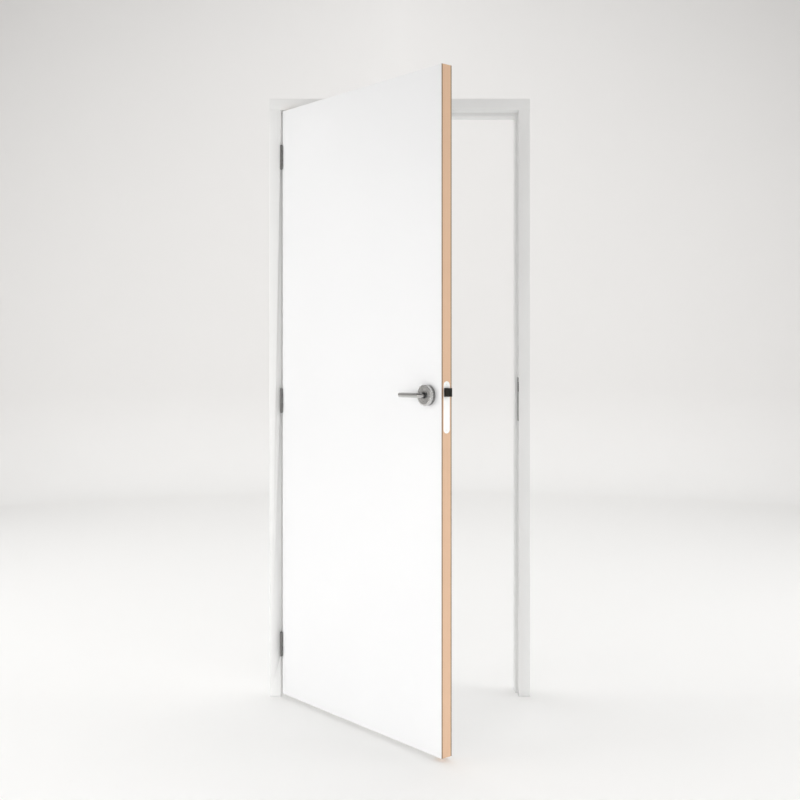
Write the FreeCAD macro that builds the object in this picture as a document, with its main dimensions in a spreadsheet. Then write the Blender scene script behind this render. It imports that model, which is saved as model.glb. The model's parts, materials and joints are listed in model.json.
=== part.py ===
import FreeCAD, Part
import os
import Sketcher

# Flush hollow core door, hung on the left jamb of its rebated timber frame and standing open.
# Millimetres, +Z up. The origin is the centre of the hinge jamb's foot, on the floor.
# +X runs across the doorway to the lock jamb, and -Y is the side to which the leaf opens.
# The pieces of the leaf are drawn as if it were shut, about the hinge pin's axis, and then turned open.

SIZES = [
    # Leaf
    ("leaf_width", 826.0),
    ("leaf_height", 2040.0),
    ("leaf_thick", 40.0),
    ("skin_thick", 4.0),
    ("stile_width", 35.0),
    ("rail_height", 45.0),
    ("block_width", 120.0),
    ("block_height", 420.0),
    ("core_pitch", 95.0),
    ("core_wall", 2.0),
    # Gaps round the shut leaf
    ("side_gap", 4.0),
    ("head_gap", 5.0),
    ("floor_gap", 12.0),
    ("stop_gap", 5.0),
    ("open_angle", 49.8),
    # Frame
    ("frame_face", 40.0),
    ("frame_depth", 100.0),
    ("jamb_stop", 8.0),
    ("head_stop", 12.0),
    # Hinges
    ("hinge_height", 82.5),
    ("hinge_low", 185.5),
    ("hinge_drop", 161.0),
    ("hinge_plate", 2.0),
    ("hinge_reach", 30.0),
    ("knuckle_gap", 0.4),
    ("pin_out", 4.5),
    ("pin_radius", 2.2),
    ("pin_play", 0.05),
    ("pin_head", 1.5),
    # Screws
    ("screw_radius", 2.0),
    ("screw_head", 3.8),
    ("screw_sink", 1.6),
    ("screw_length", 25.0),
    # Lock
    ("handle_height", 1077.0),
    ("backset", 57.0),
    ("latch_rise", 9.5),
    ("latch_wide", 20.0),
    ("latch_high", 25.0),
    ("latch_out", 18.0),
    ("latch_tail", 26.0),
    ("latch_bevel", 5.0),
    ("latch_play", 0.4),
    ("case_wall", 1.5),
    ("case_depth", 78.0),
    ("case_high", 124.0),
    ("hub_radius", 6.4),
    ("forend_high", 154.0),
    ("forend_wide", 25.0),
    ("forend_thick", 3.0),
    ("forend_drop", 44.0),
    # Strike
    ("strike_high", 154.0),
    ("strike_thick", 2.0),
    ("strike_margin", 1.5),
    ("pocket_play", 5.0),
    ("box_wall", 1.0),
    # Handles
    ("spindle_side", 8.0),
    ("spindle_hole", 11.0),
    ("rose_radius", 31.0),
    ("rose_rim", 15.0),
    ("rose_bevel", 5.0),
    ("rose_wall", 2.0),
    ("lever_radius", 7.5),
    ("lever_out", 36.0),
    ("lever_reach", 91.0),
    ("lever_play", 0.3),
    ("lever_seat", 3.0),
]

PLACES = [
    # The hinge pin's axis, and the shut leaf's edges measured from it
    ("pin_x", "=frame_face / 2 + side_gap / 2"),
    ("pin_y", "=-frame_depth / 2 - pin_out"),
    ("edge_x", "=side_gap / 2"),
    ("lock_x", "=side_gap / 2 + leaf_width"),
    ("face_y", "=pin_out"),
    ("back_y", "=pin_out + leaf_thick"),
    ("mid_y", "=pin_out + leaf_thick / 2"),
    ("leaf_top", "=floor_gap + leaf_height"),
    # The doorway, measured from the origin
    ("opening", "=leaf_width + 2 * side_gap"),
    ("rebate_x", "=frame_face / 2"),
    ("strike_x", "=frame_face / 2 + leaf_width + 2 * side_gap"),
    ("head_z", "=floor_gap + leaf_height + head_gap"),
    ("front_y", "=-frame_depth / 2"),
    ("stop_y", "=-frame_depth / 2 + leaf_thick + stop_gap"),
    # Hinge centres, knuckles and barrel
    ("hinge_bottom_z", "=hinge_low"),
    ("hinge_top_z", "=floor_gap + leaf_height - hinge_drop"),
    ("hinge_middle_z", "=(hinge_low + floor_gap + leaf_height - hinge_drop) / 2"),
    ("knuckle_pitch", "=hinge_height / 5"),
    ("barrel_radius", "=side_gap / 2 + hinge_plate"),
    # Lock and handles
    ("spindle_x", "=side_gap / 2 + leaf_width - backset"),
    ("latch_z", "=handle_height + latch_rise"),
    ("forend_z", "=handle_height + latch_rise - forend_drop"),
    ("strike_screw_rise", "=strike_high * 0.42"),
    ("forend_screw_rise", "=forend_high * 0.44"),
    ("case_thick", "=latch_wide + 2 * latch_play + 2 * case_wall"),
]

doc = FreeCAD.newDocument("HollowCoreDoor")
sheet = doc.addObject("Spreadsheet::Sheet", "Sizes")
for row, (alias, value) in enumerate(SIZES + PLACES, start=1):
    sheet.set("A%d" % row, alias)
    sheet.set("B%d" % row, str(value))
    sheet.setAlias("B%d" % row, alias)
doc.recompute()

NAMES = sorted([alias for alias, value in SIZES + PLACES], key=len, reverse=True)
BODIES = []


def bound(text):
    """Write each size's name in an expression as a reference to its cell."""
    words = ""
    current = ""
    for letter in str(text) + " ":
        if letter.isalnum() or letter == "_":
            current += letter
        else:
            if current in NAMES:
                current = "Sizes." + current
            words += current + letter
            current = ""
    return words.strip()


def size(alias):
    """The value of one cell."""
    return float(sheet.get(alias))


def tie(item, **sizes):
    """Bind properties of an object to the sheet."""
    for name, text in sizes.items():
        item.setExpression(name, bound(text))


def put(item, x="0", y="0", z="0"):
    """Place an object by three expressions."""
    item.setExpression("Placement.Base.x", bound(x))
    item.setExpression("Placement.Base.y", bound(y))
    item.setExpression("Placement.Base.z", bound(z))


def turn(item, axis, degrees):
    """Turn an object about an axis through its own base point."""
    item.Placement = FreeCAD.Placement(FreeCAD.Vector(), FreeCAD.Rotation(axis, degrees))


X_AXIS = FreeCAD.Vector(1, 0, 0)
Y_AXIS = FreeCAD.Vector(0, 1, 0)
Z_AXIS = FreeCAD.Vector(0, 0, 1)


def box(name, length, width, height, x, y, z):
    item = doc.addObject("Part::Box", name)
    tie(item, Length=length, Width=width, Height=height)
    put(item, x, y, z)
    return item


def rod(name, radius, height, x, y, z, axis=Z_AXIS, degrees=0):
    item = doc.addObject("Part::Cylinder", name)
    tie(item, Radius=radius, Height=height)
    turn(item, axis, degrees)
    put(item, x, y, z)
    return item


def cone(name, radius_1, radius_2, height, x, y, z, axis, degrees):
    item = doc.addObject("Part::Cone", name)
    tie(item, Radius1=radius_1, Radius2=radius_2, Height=height)
    turn(item, axis, degrees)
    put(item, x, y, z)
    return item


def join(name, items):
    item = doc.addObject("Part::MultiFuse", name)
    item.Shapes = items
    item.Refine = True
    return item


def cut(name, base, tools):
    item = doc.addObject("Part::Cut", name)
    item.Base = base
    item.Tool = tools[0] if len(tools) == 1 else group(name + "_tools", tools)
    return item


def group(name, items):
    item = doc.addObject("Part::Compound", name)
    item.Links = items
    return item


def outline(body, name, role, points):
    """A closed sketch of straight lines on one of the body's origin planes, each corner bound."""
    sketch = body.newObject("Sketcher::SketchObject", name)
    plane = [item for item in body.Origin.OriginFeatures if item.Role == role][0]
    sketch.AttachmentSupport = [(plane, "")]
    sketch.MapMode = "FlatFace"
    corners = []
    for across, along in points:
        x = sketch.evalExpression(bound(across))
        y = sketch.evalExpression(bound(along))
        corners.append(FreeCAD.Vector(x, y, 0))
    count = len(corners)
    for index in range(count):
        sketch.addGeometry(Part.LineSegment(corners[index], corners[(index + 1) % count]))
    for index in range(count):
        sketch.addConstraint(Sketcher.Constraint("Coincident", index, 2, (index + 1) % count, 1))
    for index, (across, along) in enumerate(points):
        place = sketch.addConstraint(Sketcher.Constraint("DistanceX", -1, 1, index, 1, corners[index].x))
        sketch.setExpression("Constraints[%d]" % place, bound(across))
        place = sketch.addConstraint(Sketcher.Constraint("DistanceY", -1, 1, index, 1, corners[index].y))
        sketch.setExpression("Constraints[%d]" % place, bound(along))
    return sketch


def pad(body, name, sketch, length, reverse=False):
    item = body.newObject("PartDesign::Pad", name)
    item.Profile = sketch
    tie(item, Length=length)
    item.Reversed = reverse
    return item


def node(item, label, leaf=False):
    """Name a finished piece, and hang the pieces of the leaf open on the hinge pins."""
    item.Label = label
    if leaf:
        turn(item, Z_AXIS, -size("open_angle"))
        item.setExpression("Placement.Rotation.Angle", "Sizes.open_angle * 1 deg")
        item.setExpression("Placement.Rotation.Axis.z", "-1")
        put(item, "pin_x", "pin_y", "0")
    BODIES.append(item)
    return item


HINGES = ["bottom", "middle", "top"]
KNUCKLES = 5


def hinge_place(level):
    return "hinge_%s_z" % level


# Screws: a countersunk head flush with its plate and a plain shank, pointing along +X or -X.
# The four of a hinge are placed by shares of its height from the middle and of its reach.
SCREW_ROWS = [("0.36", "0.42"), ("-0.36", "0.42"), ("0.12", "0.78"), ("-0.12", "0.78")]


def screw(name, x, y, z, towards):
    degrees = 90 * towards
    head = cone(name + "_head", "screw_head", "screw_radius", "screw_sink", x, y, z, Y_AXIS, degrees)
    shank = rod(name + "_shank", "screw_radius", "screw_length", x, y, z, Y_AXIS, degrees)
    return join(name, [head, shank])


def hinge_screws(name, level, x, y_start, towards):
    items = []
    for index, (rise, reach) in enumerate(SCREW_ROWS):
        y = "%s + hinge_reach * %s" % (y_start, reach)
        z = "%s + hinge_height * %s" % (hinge_place(level), rise)
        items.append(screw("%s_%d" % (name, index), x, y, z, towards))
    return items


# Frame screws lie in the jamb's rebate, leaf screws in the leaf's edge
jamb_screws = {}
leaf_screws = {}
for level in HINGES:
    jamb_screws[level] = hinge_screws("JambScrew_" + level, level, "rebate_x", "pin_y + pin_out", -1)
    leaf_screws[level] = hinge_screws("LeafScrew_" + level, level, "edge_x", "pin_out", 1)


# Frame: two rebated jambs, and a rebated head that lies across them
def jamb(name, points):
    body = doc.addObject("PartDesign::Body", name)
    sketch = outline(body, name + "Section", "XY_Plane", points)
    pad(body, name + "Length", sketch, "head_z")
    return body


hinge_jamb_solid = jamb("HingeJambSolid", [
    ("-frame_face / 2", "front_y"),
    ("rebate_x", "front_y"),
    ("rebate_x", "stop_y"),
    ("rebate_x + jamb_stop", "stop_y"),
    ("rebate_x + jamb_stop", "frame_depth / 2"),
    ("-frame_face / 2", "frame_depth / 2"),
])
hinge_jamb_tools = []
for level in HINGES:
    hinge_jamb_tools.append(box(
        "JambRecess_" + level, "hinge_plate", "hinge_reach", "hinge_height",
        "rebate_x - hinge_plate", "front_y", hinge_place(level) + " - hinge_height / 2"))
    hinge_jamb_tools += jamb_screws[level]
node(cut("HingeJamb", hinge_jamb_solid, hinge_jamb_tools), "hinge_jamb")

lock_jamb_solid = jamb("LockJambSolid", [
    ("strike_x", "front_y"),
    ("strike_x + frame_face", "front_y"),
    ("strike_x + frame_face", "frame_depth / 2"),
    ("strike_x - jamb_stop", "frame_depth / 2"),
    ("strike_x - jamb_stop", "stop_y"),
    ("strike_x", "stop_y"),
])
strike_wide = "leaf_thick + stop_gap - 2 * strike_margin"
strike_blank = box(
    "StrikeBlank", "strike_thick", strike_wide, "strike_high",
    "strike_x", "front_y + strike_margin", "forend_z - strike_high / 2")
pocket_depth = "latch_out - side_gap + pocket_play"
pocket_wide = "latch_wide + 2 * pocket_play"
pocket_high = "latch_high + 2 * pocket_play"
pocket_y = "front_y + leaf_thick / 2 - latch_wide / 2 - pocket_play"
pocket_z = "latch_z - latch_high / 2 - pocket_play"
strike_hole = box("StrikeHole", "strike_thick", pocket_wide, pocket_high, "strike_x", pocket_y, pocket_z)
strike_mortise = box(
    "StrikeMortise", pocket_depth + " + box_wall", pocket_wide + " + 2 * box_wall",
    pocket_high + " + 2 * box_wall", "strike_x", pocket_y + " - box_wall", pocket_z + " - box_wall")
strike_screws = []
for index, side in enumerate(["-1", "1"]):
    strike_screws.append(screw(
        "StrikeScrew_%d" % index, "strike_x", "front_y + leaf_thick / 2",
        "forend_z + strike_screw_rise * " + side, 1))
lock_jamb_tools = [strike_blank, strike_mortise] + strike_screws
node(cut("LockJamb", lock_jamb_solid, lock_jamb_tools), "lock_jamb")

head_board = box(
    "HeadBoard", "opening + 2 * frame_face", "frame_depth", "frame_face",
    "-frame_face / 2", "front_y", "head_z")
head_rebate = box(
    "HeadStop", "opening - 2 * jamb_stop", "frame_depth / 2 - stop_y", "head_stop",
    "rebate_x + jamb_stop", "stop_y", "head_z - head_stop")
node(join("HeadJamb", [head_board, head_rebate]), "head_jamb")

# Strike plate, with its screws, and the dust box that the latch shoots into
node(cut("StrikePlate", strike_blank, [strike_hole] + strike_screws), "strike_plate")
node(group("StrikeScrews", strike_screws), "strike_screws")
dust_outer = box(
    "DustOuter", pocket_depth + " + box_wall - strike_thick", pocket_wide + " + 2 * box_wall",
    pocket_high + " + 2 * box_wall", "strike_x + strike_thick", pocket_y + " - box_wall",
    pocket_z + " - box_wall")
dust_inner = box(
    "DustInner", pocket_depth + " - strike_thick", pocket_wide, pocket_high, "strike_x + strike_thick",
    pocket_y, pocket_z)
node(cut("StrikeBox", dust_outer, [dust_inner]), "strike_box")


# Hinges: five knuckles on one pin, three on the jamb's plate and two on the leaf's
def hinge_plate(name, level, x, x_pin, y_pin, knuckles, screws):
    """One leaf of a hinge, with x its low side and the pin's axis at x_pin and y_pin."""
    low = hinge_place(level) + " - hinge_height / 2"
    plate = box(
        name + "_plate", "hinge_plate", "hinge_reach - knuckle_gap - barrel_radius + pin_out",
        "hinge_height", x, y_pin + " + barrel_radius + knuckle_gap", low)
    pieces = [plate]
    for index in knuckles:
        first = "0" if index == 0 else "knuckle_gap / 2"
        last = "0" if index == KNUCKLES - 1 else "knuckle_gap / 2"
        z = "%s + knuckle_pitch * %d + %s" % (low, index, first)
        height = "knuckle_pitch - %s - %s" % (first, last)
        pieces.append(rod("%s_knuckle_%d" % (name, index), "barrel_radius", height, x_pin, y_pin, z))
        pieces.append(box(
            "%s_tab_%d" % (name, index), "hinge_plate", "barrel_radius + 2 * knuckle_gap", height,
            x, y_pin, z))
    bore = rod(name + "_bore", "pin_radius + pin_play", "hinge_height", x_pin, y_pin, low)
    return cut(name, join(name + "_blank", pieces), [bore] + screws)


for level in HINGES:
    name = "JambHinge_" + level
    node(hinge_plate(name, level, "rebate_x - hinge_plate", "pin_x", "pin_y", [0, 2, 4], jamb_screws[level]),
         "jamb_hinge_plate_" + level)
    pin = rod("Pin_" + level, "pin_radius", "hinge_height", "pin_x", "pin_y",
              hinge_place(level) + " - hinge_height / 2")
    caps = []
    for end, z in [("Foot", " - hinge_height / 2 - pin_head"), ("Cap", " + hinge_height / 2")]:
        caps.append(rod(end + "_" + level, "barrel_radius - knuckle_gap", "pin_head", "pin_x", "pin_y",
                        hinge_place(level) + z))
    node(join("HingePin_" + level, [pin] + caps), "hinge_pin_" + level)
node(group("JambHingeScrews", jamb_screws["bottom"] + jamb_screws["middle"] + jamb_screws["top"]),
     "jamb_hinge_screws")

# Leaf: two skins on a softwood frame of stiles and rails
recesses = []
for level in HINGES:
    recesses.append(box(
        "LeafRecess_" + level, "hinge_plate", "pin_out + hinge_reach", "hinge_height",
        "edge_x", "0", hinge_place(level) + " - hinge_height / 2"))
all_leaf_screws = leaf_screws["bottom"] + leaf_screws["middle"] + leaf_screws["top"]


def skin(name, y, tools, hole_y):
    blank = box(name + "Blank", "leaf_width", "skin_thick", "leaf_height", "edge_x", y, "floor_gap")
    hole = rod(name + "Hole", "spindle_hole", "skin_thick", "spindle_x", hole_y, "handle_height", X_AXIS, 90)
    return cut(name, blank, [hole] + tools)


node(skin("FrontSkin", "face_y", recesses, "face_y + skin_thick"), "front_skin", True)
node(skin("BackSkin", "back_y - skin_thick", [], "back_y"), "back_skin", True)

inner_y = "face_y + skin_thick"
inner_thick = "leaf_thick - 2 * skin_thick"
hinge_stile_blank = box(
    "HingeStileBlank", "stile_width", inner_thick, "leaf_height", "edge_x", inner_y, "floor_gap")
node(cut("HingeStile", hinge_stile_blank, recesses + all_leaf_screws), "hinge_stile", True)

case_x = "lock_x - forend_thick - case_depth"
case_mortise = box(
    "CaseMortise", "case_depth", "case_thick", "case_high",
    case_x, "mid_y - case_thick / 2", "forend_z - case_high / 2")


def round_plate(name, thick, wide, high, x, y, z):
    """A plate with full round ends, standing across the X axis. x is its low side, y and z its centre."""
    middle = box(name + "_middle", thick, wide, "(%s) - (%s)" % (high, wide), x,
                 "%s - (%s) / 2" % (y, wide), "%s - (%s) / 2 + (%s) / 2" % (z, high, wide))
    pieces = [middle]
    for end, sign in [("low", "-"), ("high", "+")]:
        pieces.append(rod("%s_%s" % (name, end), "(%s) / 2" % wide, thick, x, y,
                          "%s %s ((%s) / 2 - (%s) / 2)" % (z, sign, high, wide), Y_AXIS, 90))
    return join(name, pieces)


forend_blank = round_plate(
    "ForendBlank", "forend_thick", "forend_wide", "forend_high", "lock_x - forend_thick", "mid_y", "forend_z")
forend_screws = []
for index, side in enumerate(["-1", "1"]):
    forend_screws.append(screw(
        "ForendScrew_%d" % index, "lock_x", "mid_y", "forend_z + forend_screw_rise * " + side, -1))
lock_stile_blank = box(
    "LockStileBlank", "stile_width", inner_thick, "leaf_height", "lock_x - stile_width", inner_y, "floor_gap")
node(cut("LockStile", lock_stile_blank, [forend_blank, case_mortise] + forend_screws), "lock_stile", True)

for label, z in [("bottom_rail", "floor_gap"), ("top_rail", "leaf_top - rail_height")]:
    rail = box(label + "_board", "leaf_width - 2 * stile_width", inner_thick, "rail_height",
               "edge_x + stile_width", inner_y, z)
    node(group(label.title().replace("_", ""), [rail]), label, True)

block_x = "lock_x - stile_width - block_width"
block_z = "forend_z - block_height / 2"
lock_block_blank = box(
    "LockBlockBlank", "block_width", inner_thick, "block_height", block_x, inner_y, block_z)
block_hole = rod(
    "BlockHole", "spindle_hole", inner_thick, "spindle_x", "back_y - skin_thick", "handle_height",
    X_AXIS, 90)
node(cut("LockBlock", lock_block_blank, [case_mortise, block_hole]), "lock_block", True)

# Core: a lattice of card strips that keeps the skins apart, cut away round the lock block
core_wide = size("leaf_width") - 2 * size("stile_width")
core_high = size("leaf_height") - 2 * size("rail_height")
strips = []
for index in range(1, int(core_high / size("core_pitch")) + 1):
    z = "floor_gap + rail_height + core_pitch * %d - core_wall" % index
    strips.append(box("CoreLevel_%d" % index, "leaf_width - 2 * stile_width", inner_thick, "core_wall",
                      "edge_x + stile_width", inner_y, z))
for index in range(1, int(core_wide / size("core_pitch")) + 1):
    x = "edge_x + stile_width + core_pitch * %d - core_wall" % index
    strips.append(box("CoreUpright_%d" % index, "core_wall", inner_thick, "leaf_height - 2 * rail_height",
                      x, inner_y, "floor_gap + rail_height"))
block_room = box("BlockRoom", "block_width", inner_thick, "block_height", block_x, inner_y, block_z)
node(cut("Core", join("CoreStrips", strips), [block_room]), "core", True)

# Lock case: a folded steel box with a round window for the spindle and a mouth for the latch
case_outer = box("CaseOuter", "case_depth", "case_thick", "case_high", case_x, "mid_y - case_thick / 2",
                 "forend_z - case_high / 2")
case_inner = box(
    "CaseInner", "case_depth - case_wall", "case_thick - 2 * case_wall", "case_high - 2 * case_wall",
    case_x + " + case_wall", "mid_y - case_thick / 2 + case_wall", "forend_z - case_high / 2 + case_wall")
case_window = rod(
    "CaseWindow", "hub_radius", "case_thick", "spindle_x", "mid_y + case_thick / 2", "handle_height",
    X_AXIS, 90)
node(cut("LockCase", case_outer, [case_inner, case_window]), "lock_case", True)

latch_mouth = box(
    "LatchMouth", "forend_thick", "latch_wide + 2 * latch_play", "latch_high + 2 * latch_play",
    "lock_x - forend_thick", "mid_y - latch_wide / 2 - latch_play", "latch_z - latch_high / 2 - latch_play")
node(cut("Forend", forend_blank, [latch_mouth] + forend_screws), "forend", True)
node(group("ForendScrews", forend_screws), "forend_screws", True)

for level in HINGES:
    name = "LeafHinge_" + level
    node(hinge_plate(name, level, "edge_x", "0", "0", [1, 3], leaf_screws[level]),
         "leaf_hinge_plate_" + level, True)
node(group("LeafHingeScrews", all_leaf_screws), "leaf_hinge_screws", True)


# Roses: spun steel cups, bevelled in front, with a running bore for the lever's neck
def rose(name, y, degrees):
    rim = rod(name + "Rim", "rose_radius", "rose_rim", "spindle_x", y, "handle_height", X_AXIS, degrees)
    sign = "-" if degrees > 0 else "+"
    bevel = cone(name + "Bevel", "rose_radius", "rose_radius - rose_bevel", "rose_bevel", "spindle_x",
                 "%s %s rose_rim" % (y, sign), "handle_height", X_AXIS, degrees)
    hollow = rod(name + "Hollow", "rose_radius - rose_wall", "rose_rim - rose_wall", "spindle_x", y,
                 "handle_height", X_AXIS, degrees)
    bore = rod(name + "Bore", "lever_radius + lever_play", "rose_rim + rose_bevel", "spindle_x", y,
               "handle_height", X_AXIS, degrees)
    return cut(name, join(name + "Blank", [rim, bevel]), [hollow, bore])


node(rose("FrontRose", "face_y", 90), "front_rose", True)
node(rose("BackRose", "back_y", -90), "back_rose", True)


# Levers: a round neck turned through a right angle into a straight round bar
def lever(name, y, degrees, spindle_end):
    sign = "-" if degrees > 0 else "+"
    neck = rod(name + "Neck", "lever_radius", "lever_out - lever_seat", "spindle_x",
               "%s %s lever_seat" % (y, sign), "handle_height", X_AXIS, degrees)
    centre_y = "%s %s lever_out" % (y, sign)
    elbow = doc.addObject("Part::Sphere", name + "Elbow")
    tie(elbow, Radius="lever_radius")
    put(elbow, "spindle_x", centre_y, "handle_height")
    arm = rod(name + "Arm", "lever_radius", "lever_reach", "spindle_x", centre_y, "handle_height",
              Y_AXIS, -90)
    return cut(name, join(name + "Blank", [neck, elbow, arm]), [spindle_end])


spindle_length = "leaf_thick + 2 * (lever_out - lever_radius)"


def spindle_bar(name):
    return box(name, "spindle_side", spindle_length, "spindle_side", "spindle_x - spindle_side / 2",
               "face_y - lever_out + lever_radius", "handle_height - spindle_side / 2")


node(lever("FrontLever", "face_y", 90, spindle_bar("FrontSpindleHole")), "front_lever", True)
node(lever("BackLever", "back_y", -90, spindle_bar("BackSpindleHole")), "back_lever", True)
node(group("Spindle", [spindle_bar("SpindleBar")]), "spindle", True)

# Latch: a square bolt, bevelled at the back of its tip where the strike pushes it in
latch_body = doc.addObject("PartDesign::Body", "Latch")
latch_section = outline(latch_body, "LatchSection", "XY_Plane", [
    ("lock_x - latch_tail", "mid_y - latch_wide / 2"),
    ("lock_x + latch_out", "mid_y - latch_wide / 2"),
    ("lock_x + latch_out", "mid_y + latch_wide / 2 - latch_bevel"),
    ("lock_x + latch_out - latch_bevel", "mid_y + latch_wide / 2"),
    ("lock_x - latch_tail", "mid_y + latch_wide / 2"),
])
latch_section.setExpression("AttachmentOffset.Base.z", bound("latch_z - latch_high / 2"))
pad(latch_body, "LatchHeight", latch_section, "latch_high")
node(latch_body, "latch_bolt", True)

doc.recompute()
for item in doc.Objects:
    if "Invalid" in item.State or "Error" in item.State:
        raise RuntimeError("%s is in state %s" % (item.Name, item.State))
os.makedirs("parts", exist_ok=True)
for item in BODIES:
    shape = item.Shape
    if shape.isNull() or not shape.isValid():
        raise RuntimeError("%s has no valid shape" % item.Label)
    shape.exportStep(os.path.join("parts", item.Label + ".step"))
    box_of = shape.BoundBox
    print("%-26s solids %d volume %9.1f  x %7.1f %7.1f  y %7.1f %7.1f  z %7.1f %7.1f" % (
        item.Label, len(shape.Solids), shape.Volume, box_of.XMin, box_of.XMax, box_of.YMin, box_of.YMax,
        box_of.ZMin, box_of.ZMax))
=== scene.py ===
import json
import math

import bmesh
import bpy
from mathutils import Matrix, Vector


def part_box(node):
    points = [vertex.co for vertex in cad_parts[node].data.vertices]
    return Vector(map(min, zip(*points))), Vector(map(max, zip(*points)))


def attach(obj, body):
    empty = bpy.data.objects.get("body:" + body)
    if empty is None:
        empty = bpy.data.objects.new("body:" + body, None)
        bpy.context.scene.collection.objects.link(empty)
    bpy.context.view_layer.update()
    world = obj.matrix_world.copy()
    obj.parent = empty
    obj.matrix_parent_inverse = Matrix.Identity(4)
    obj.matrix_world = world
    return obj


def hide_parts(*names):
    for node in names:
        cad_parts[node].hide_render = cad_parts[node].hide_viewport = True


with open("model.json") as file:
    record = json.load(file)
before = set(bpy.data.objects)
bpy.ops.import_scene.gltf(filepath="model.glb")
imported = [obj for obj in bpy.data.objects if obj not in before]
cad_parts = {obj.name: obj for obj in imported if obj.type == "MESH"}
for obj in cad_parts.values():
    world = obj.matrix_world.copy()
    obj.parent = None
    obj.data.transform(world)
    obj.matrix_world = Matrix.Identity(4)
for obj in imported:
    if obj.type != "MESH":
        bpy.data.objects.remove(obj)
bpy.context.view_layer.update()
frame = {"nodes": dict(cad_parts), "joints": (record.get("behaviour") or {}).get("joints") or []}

# The view. The door set is seen straight on from the side that the leaf opens to, with the camera
# level a little above the handle, so every upright stays upright.
head_low, head_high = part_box("head_jamb")
CAMERA_BACK = 3.863
CAMERA_ASIDE = 0.0007
CAMERA_RISE = 1.188
LENS = 49.56
SENSOR = 36.0
HORIZON_ROW = 357.9
PICTURE = 800
middle_x = (head_low.x + head_high.x) / 2

camera_data = bpy.data.cameras.new("camera")
camera_data.lens = LENS
camera_data.sensor_width = SENSOR
camera_data.shift_y = (HORIZON_ROW - PICTURE / 2) / PICTURE
camera_data.clip_end = 60.0
camera = bpy.data.objects.new("camera", camera_data)
camera.location = (middle_x + CAMERA_ASIDE, head_low.y - CAMERA_BACK, CAMERA_RISE)
camera.rotation_euler = (math.radians(90), 0, 0)
bpy.context.scene.collection.objects.link(camera)
bpy.context.scene.camera = camera

# The swing. Everything on the leaf is drawn as if it were shut in its frame, about the hinge pins,
# and is then hung open by the angle at which it stands.
swing = [joint for joint in frame["joints"] if joint["name"] == "door_swing"][0]
pin = Vector(swing["pos_m"])
open_turn = math.radians(-swing["range_deg"][0])
hang = Matrix.Translation(pin) @ Matrix.Rotation(-open_turn, 4, "Z") @ Matrix.Translation(-pin)
unhang = hang.inverted()
AS_IT_STANDS = Matrix.Identity(4)


def shut_box(node):
    """Lowest and highest corners of a leaf node with the leaf shut."""
    points = [unhang @ vertex.co for vertex in frame["nodes"][node].data.vertices]
    low = Vector([min(point[axis] for point in points) for axis in range(3)])
    high = Vector([max(point[axis] for point in points) for axis in range(3)])
    return low, high


# Frame timber: two jambs and a head, planed softwood with a rebate for the leaf, arrises eased by
# hand and brushed with two coats of grey-white satin paint along the grain.
PAINT_LIGHT = (0.787, 0.787, 0.781, 1)
PAINT_DARK = (0.767, 0.767, 0.761, 1)
ARRIS = 0.0016


def shader(name, roughness, metallic=0.0):
    """A new material and its principled shader."""
    material = bpy.data.materials.new(name)
    material.use_nodes = True
    surface = material.node_tree.nodes["Principled BSDF"]
    surface.inputs["Roughness"].default_value = roughness
    surface.inputs["Metallic"].default_value = metallic
    return material, surface


def add(material, kind, **values):
    """A new node of a material, with its settings and socket values."""
    node = material.node_tree.nodes.new(kind)
    for name, value in values.items():
        if name in node.inputs:
            node.inputs[name].default_value = value
        else:
            setattr(node, name, value)
    return node


def wire(material, start, end):
    material.node_tree.links.new(start, end)


def object_place(material, axes=AS_IT_STANDS, scale=(1, 1, 1)):
    """Object coordinates, set out on a pattern's own axes and then stretched."""
    source = add(material, "ShaderNodeTexCoord")
    turned = add(material, "ShaderNodeMapping")
    turned.inputs["Location"].default_value = axes.to_translation()
    turned.inputs["Rotation"].default_value = axes.to_euler()
    scaled = add(material, "ShaderNodeVectorMath", operation="MULTIPLY")
    scaled.inputs[1].default_value = scale
    wire(material, source.outputs["Object"], turned.inputs["Vector"])
    wire(material, turned.outputs["Vector"], scaled.inputs[0])
    return scaled.outputs[0]


def noise(material, place, scale, detail=2.0, rough=0.5):
    node = add(material, "ShaderNodeTexNoise", Scale=scale, Detail=detail, Roughness=rough)
    wire(material, place, node.inputs["Vector"])
    return node.outputs["Fac"]


def spread(material, value, low, high, to_low, to_high):
    """Stretch a value from one range to another."""
    node = add(material, "ShaderNodeMapRange")
    node.inputs["From Min"].default_value = low
    node.inputs["From Max"].default_value = high
    node.inputs["To Min"].default_value = to_low
    node.inputs["To Max"].default_value = to_high
    wire(material, value, node.inputs["Value"])
    return node.outputs["Result"]


def blend_colours(material, value, first, second):
    node = add(material, "ShaderNodeMix", data_type="RGBA")
    sockets = [socket for socket in node.inputs if socket.type == "RGBA"]
    for socket, colour in zip(sockets, (first, second)):
        if isinstance(colour, bpy.types.NodeSocket):
            wire(material, colour, socket)
        else:
            socket.default_value = colour
    wire(material, value, node.inputs["Factor"])
    return [socket for socket in node.outputs if socket.type == "RGBA"][0]


def tint(material, surface, pattern, first, second, low=0.35, high=0.65):
    """Colour a surface from one colour to another as its pattern goes from low to high."""
    mixed = blend_colours(material, spread(material, pattern, low, high, 0, 1), first, second)
    wire(material, mixed, surface.inputs["Base Color"])


def polish(material, surface, pattern, low, high):
    """Let a surface's roughness wander between two values with its pattern."""
    wire(material, spread(material, pattern, 0.3, 0.7, low, high), surface.inputs["Roughness"])


def bump(material, surface, value, depth, strength=1.0):
    """Relief of a height in metres."""
    node = add(material, "ShaderNodeBump", Strength=strength, Distance=depth)
    wire(material, value, node.inputs["Height"])
    wire(material, node.outputs["Normal"], surface.inputs["Normal"])


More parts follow.
